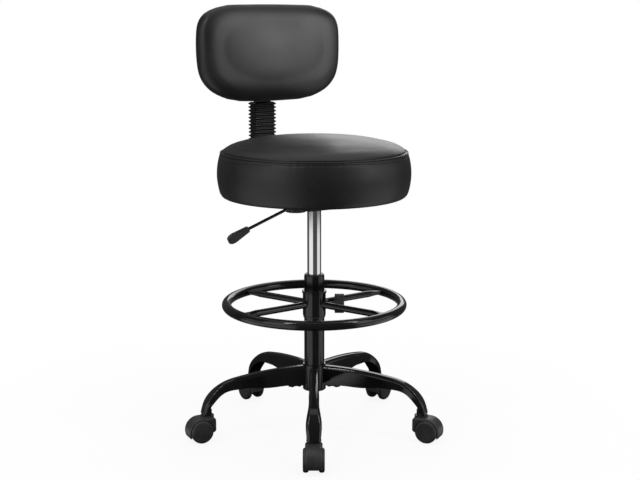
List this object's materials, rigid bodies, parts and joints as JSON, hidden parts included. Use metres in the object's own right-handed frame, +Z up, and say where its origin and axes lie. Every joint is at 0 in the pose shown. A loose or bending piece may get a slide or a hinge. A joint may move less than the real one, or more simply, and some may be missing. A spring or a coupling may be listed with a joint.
{
  "type": "drafting chair",
  "caption": "Height-adjustable drafting chair with a round padded seat, small padded backrest, foot ring, gas column and caster base.",
  "frame": {"origin": "on the floor under the column's axis", "axes": "+Z up along the column, +Y from the seat towards the backrest, +X to the sitter's left-hand side"},
  "size_m": [0.5126, 0.5053, 0.858],
  "materials": {
    "black_paint": "gloss black powder coat",
    "chrome": "polished chrome",
    "steel": "zinc-plated steel",
    "caster_plastic": "moulded nylon, fine grain",
    "knob_plastic": "moulded plastic, satin",
    "nylon": "smooth nylon",
    "rubber": "soft rubber",
    "upholstery": "coated upholstery fabric, semi-matte",
    "plywood": "board under black lining"
  },
  "bodies": {
    "base": {"base_hub": "black_paint", "base_leg_1": "black_paint", "base_leg_2": "black_paint", "base_leg_3": "black_paint", "base_leg_4": "black_paint", "base_leg_5": "black_paint", "plate_bolts": "black_paint", "leg_sockets": "steel", "caster_stems": "steel", "column_tube": "black_paint", "column_bush": "nylon"},
    "lift_rod": {"piston_rod": "steel", "thrust_bearing": "steel", "rubber_bumper": "rubber", "retaining_clip": "steel"},
    "seat": {"chrome_cylinder": "chrome", "cylinder_gland": "nylon", "seat_plate": "black_paint", "seat_board": "plywood", "seat_cushion": "upholstery", "seat_screws": "steel", "lever_pin": "steel", "bar_guide": "black_paint"},
    "lever": {"lever_rod": "black_paint", "lever_handle": "knob_plastic"},
    "valve": {"valve_button": "steel"},
    "back_frame": {"back_bar": "black_paint", "bellows": "rubber"},
    "depth_knob": {"depth_knob": "knob_plastic"},
    "backrest": {"back_board": "plywood", "back_cushion": "upholstery", "back_bracket": "black_paint", "back_screws": "steel"},
    "height_knob": {"height_knob": "knob_plastic"},
    "ring_bush": {"ring_bush": "nylon"},
    "foot_ring": {"foot_ring": "black_paint", "ring_spokes": "black_paint", "ring_hub": "black_paint"},
    "clamp_pad": {"clamp_pad": "nylon"},
    "clamp_knob": {"clamp_knob": "knob_plastic"},
    "caster_1": {"caster_hood_1": "caster_plastic", "caster_axle_1": "steel"},
    "wheel_left_1": {"wheel_left_1": "caster_plastic"},
    "wheel_right_1": {"wheel_right_1": "caster_plastic"},
    "caster_2": {"caster_hood_2": "caster_plastic", "caster_axle_2": "steel"},
    "wheel_left_2": {"wheel_left_2": "caster_plastic"},
    "wheel_right_2": {"wheel_right_2": "caster_plastic"},
    "caster_3": {"caster_hood_3": "caster_plastic", "caster_axle_3": "steel"},
    "wheel_left_3": {"wheel_left_3": "caster_plastic"},
    "wheel_right_3": {"wheel_right_3": "caster_plastic"},
    "caster_4": {"caster_hood_4": "caster_plastic", "caster_axle_4": "steel"},
    "wheel_left_4": {"wheel_left_4": "caster_plastic"},
    "wheel_right_4": {"wheel_right_4": "caster_plastic"},
    "caster_5": {"caster_hood_5": "caster_plastic", "caster_axle_5": "steel"},
    "wheel_left_5": {"wheel_left_5": "caster_plastic"},
    "wheel_right_5": {"wheel_right_5": "caster_plastic"}
  },
  "joints": [
    {"name": "seat_swivel", "type": "hinge", "parent": "base", "child": "lift_rod", "pos_m": [0, 0, 0.3], "axis": [0, 0, 1], "continuous": true},
    {"name": "seat_height", "type": "slide", "parent": "lift_rod", "child": "seat", "axis": [0, 0, 1], "range_m": [-0.11, 0]},
    {"name": "lever_lift", "type": "hinge", "parent": "seat", "child": "lever", "pos_m": [-0.016, 0, 0.4799], "axis": [0, 1, 0], "range_deg": [0, 8], "stiffness_Nm_per_rad": 1.5, "springref_deg": -8.59},
    {"name": "valve_press", "type": "slide", "parent": "seat", "child": "valve", "axis": [0, 0, -1], "range_m": [0, 0.00235]},
    {"name": "back_depth", "type": "slide", "parent": "seat", "child": "back_frame", "axis": [0, 1, 0], "range_m": [-0.006, 0.03]},
    {"name": "depth_knob_turn", "type": "hinge", "parent": "seat", "child": "depth_knob", "pos_m": [0, 0.076, 0.45], "axis": [0, 0, 1], "range_deg": [0, 360]},
    {"name": "back_height", "type": "slide", "parent": "back_frame", "child": "backrest", "axis": [0, 0, 1], "range_m": [-0.025, 0.05], "deforming": ["bellows"]},
    {"name": "height_knob_turn", "type": "hinge", "parent": "backrest", "child": "height_knob", "pos_m": [0, 0.24, 0.748], "axis": [0, 1, 0], "range_deg": [0, 360]},
    {"name": "ring_height", "type": "slide", "parent": "base", "child": "ring_bush", "axis": [0, 0, 1], "range_m": [-0.09, 0.005]},
    {"name": "ring_turn", "type": "hinge", "parent": "ring_bush", "child": "foot_ring", "pos_m": [0, 0, 0.2635], "axis": [0, 0, 1], "continuous": true},
    {"name": "clamp_slide", "type": "slide", "parent": "foot_ring", "child": "clamp_pad", "axis": [0.866, -0.5, 0], "range_m": [0, 0.0026]},
    {"name": "clamp_turn", "type": "hinge", "parent": "clamp_pad", "child": "clamp_knob", "pos_m": [0.0433, -0.025, 0.2635], "axis": [0.866, -0.5, 0], "range_deg": [0, 720]},
    {"name": "caster_swivel_1", "type": "hinge", "parent": "base", "child": "caster_1", "pos_m": [-0.11225, -0.19442, 0.05], "axis": [0, 0, 1], "continuous": true},
    {"name": "wheel_left_spin_1", "type": "hinge", "parent": "caster_1", "child": "wheel_left_1", "pos_m": [-0.12025, -0.20828, 0.023], "axis": [0.866, -0.5, 0], "continuous": true},
    {"name": "wheel_right_spin_1", "type": "hinge", "parent": "caster_1", "child": "wheel_right_1", "pos_m": [-0.12025, -0.20828, 0.023], "axis": [0.866, -0.5, 0], "continuous": true},
    {"name": "caster_swivel_2", "type": "hinge", "parent": "base", "child": "caster_2", "pos_m": [0.15022, -0.16684, 0.05], "axis": [0, 0, 1], "continuous": true},
    {"name": "wheel_left_spin_2", "type": "hinge", "parent": "caster_2", "child": "wheel_left_2", "pos_m": [0.15917, -0.1801, 0.023], "axis": [0.829, 0.5592, 0], "continuous": true},
    {"name": "wheel_right_spin_2", "type": "hinge", "parent": "caster_2", "child": "wheel_right_2", "pos_m": [0.15917, -0.1801, 0.023], "axis": [0.829, 0.5592, 0], "continuous": true},
    {"name": "caster_swivel_3", "type": "hinge", "parent": "base", "child": "caster_3", "pos_m": [0.20509, 0.09131, 0.05], "axis": [0, 0, 1], "continuous": true},
    {"name": "wheel_left_spin_3", "type": "hinge", "parent": "caster_3", "child": "wheel_left_3", "pos_m": [0.21971, 0.09782, 0.023], "axis": [-0.4067, 0.9135, 0], "continuous": true},
    {"name": "wheel_right_spin_3", "type": "hinge", "parent": "caster_3", "child": "wheel_right_3", "pos_m": [0.21971, 0.09782, 0.023], "axis": [-0.4067, 0.9135, 0], "continuous": true},
    {"name": "caster_swivel_4", "type": "hinge", "parent": "base", "child": "caster_4", "pos_m": [-0.02347, 0.22327, 0.05], "axis": [0, 0, 1], "continuous": true},
    {"name": "wheel_left_spin_4", "type": "hinge", "parent": "caster_4", "child": "wheel_left_4", "pos_m": [-0.02514, 0.23918, 0.023], "axis": [-0.9945, -0.1045, 0], "continuous": true},
    {"name": "wheel_right_spin_4", "type": "hinge", "parent": "caster_4", "child": "wheel_right_4", "pos_m": [-0.02514, 0.23918, 0.023], "axis": [-0.9945, -0.1045, 0], "continuous": true},
    {"name": "caster_swivel_5", "type": "hinge", "parent": "base", "child": "caster_5", "pos_m": [-0.21959, 0.04668, 0.05], "axis": [0, 0, 1], "continuous": true},
    {"name": "wheel_left_spin_5", "type": "hinge", "parent": "caster_5", "child": "wheel_left_5", "pos_m": [-0.23555, 0.04779, 0.023], "axis": [-0.0698, -0.9976, 0], "continuous": true},
    {"name": "wheel_right_spin_5", "type": "hinge", "parent": "caster_5", "child": "wheel_right_5", "pos_m": [-0.23555, 0.04779, 0.023], "axis": [-0.0698, -0.9976, 0], "continuous": true}
  ],
  "couplings": [
    {"joint": "valve_press", "follows": "lever_lift", "m_per_rad": 0.016},
    {"joint": "clamp_slide", "follows": "clamp_turn", "m_per_rad": 0.00019894}
  ]
}
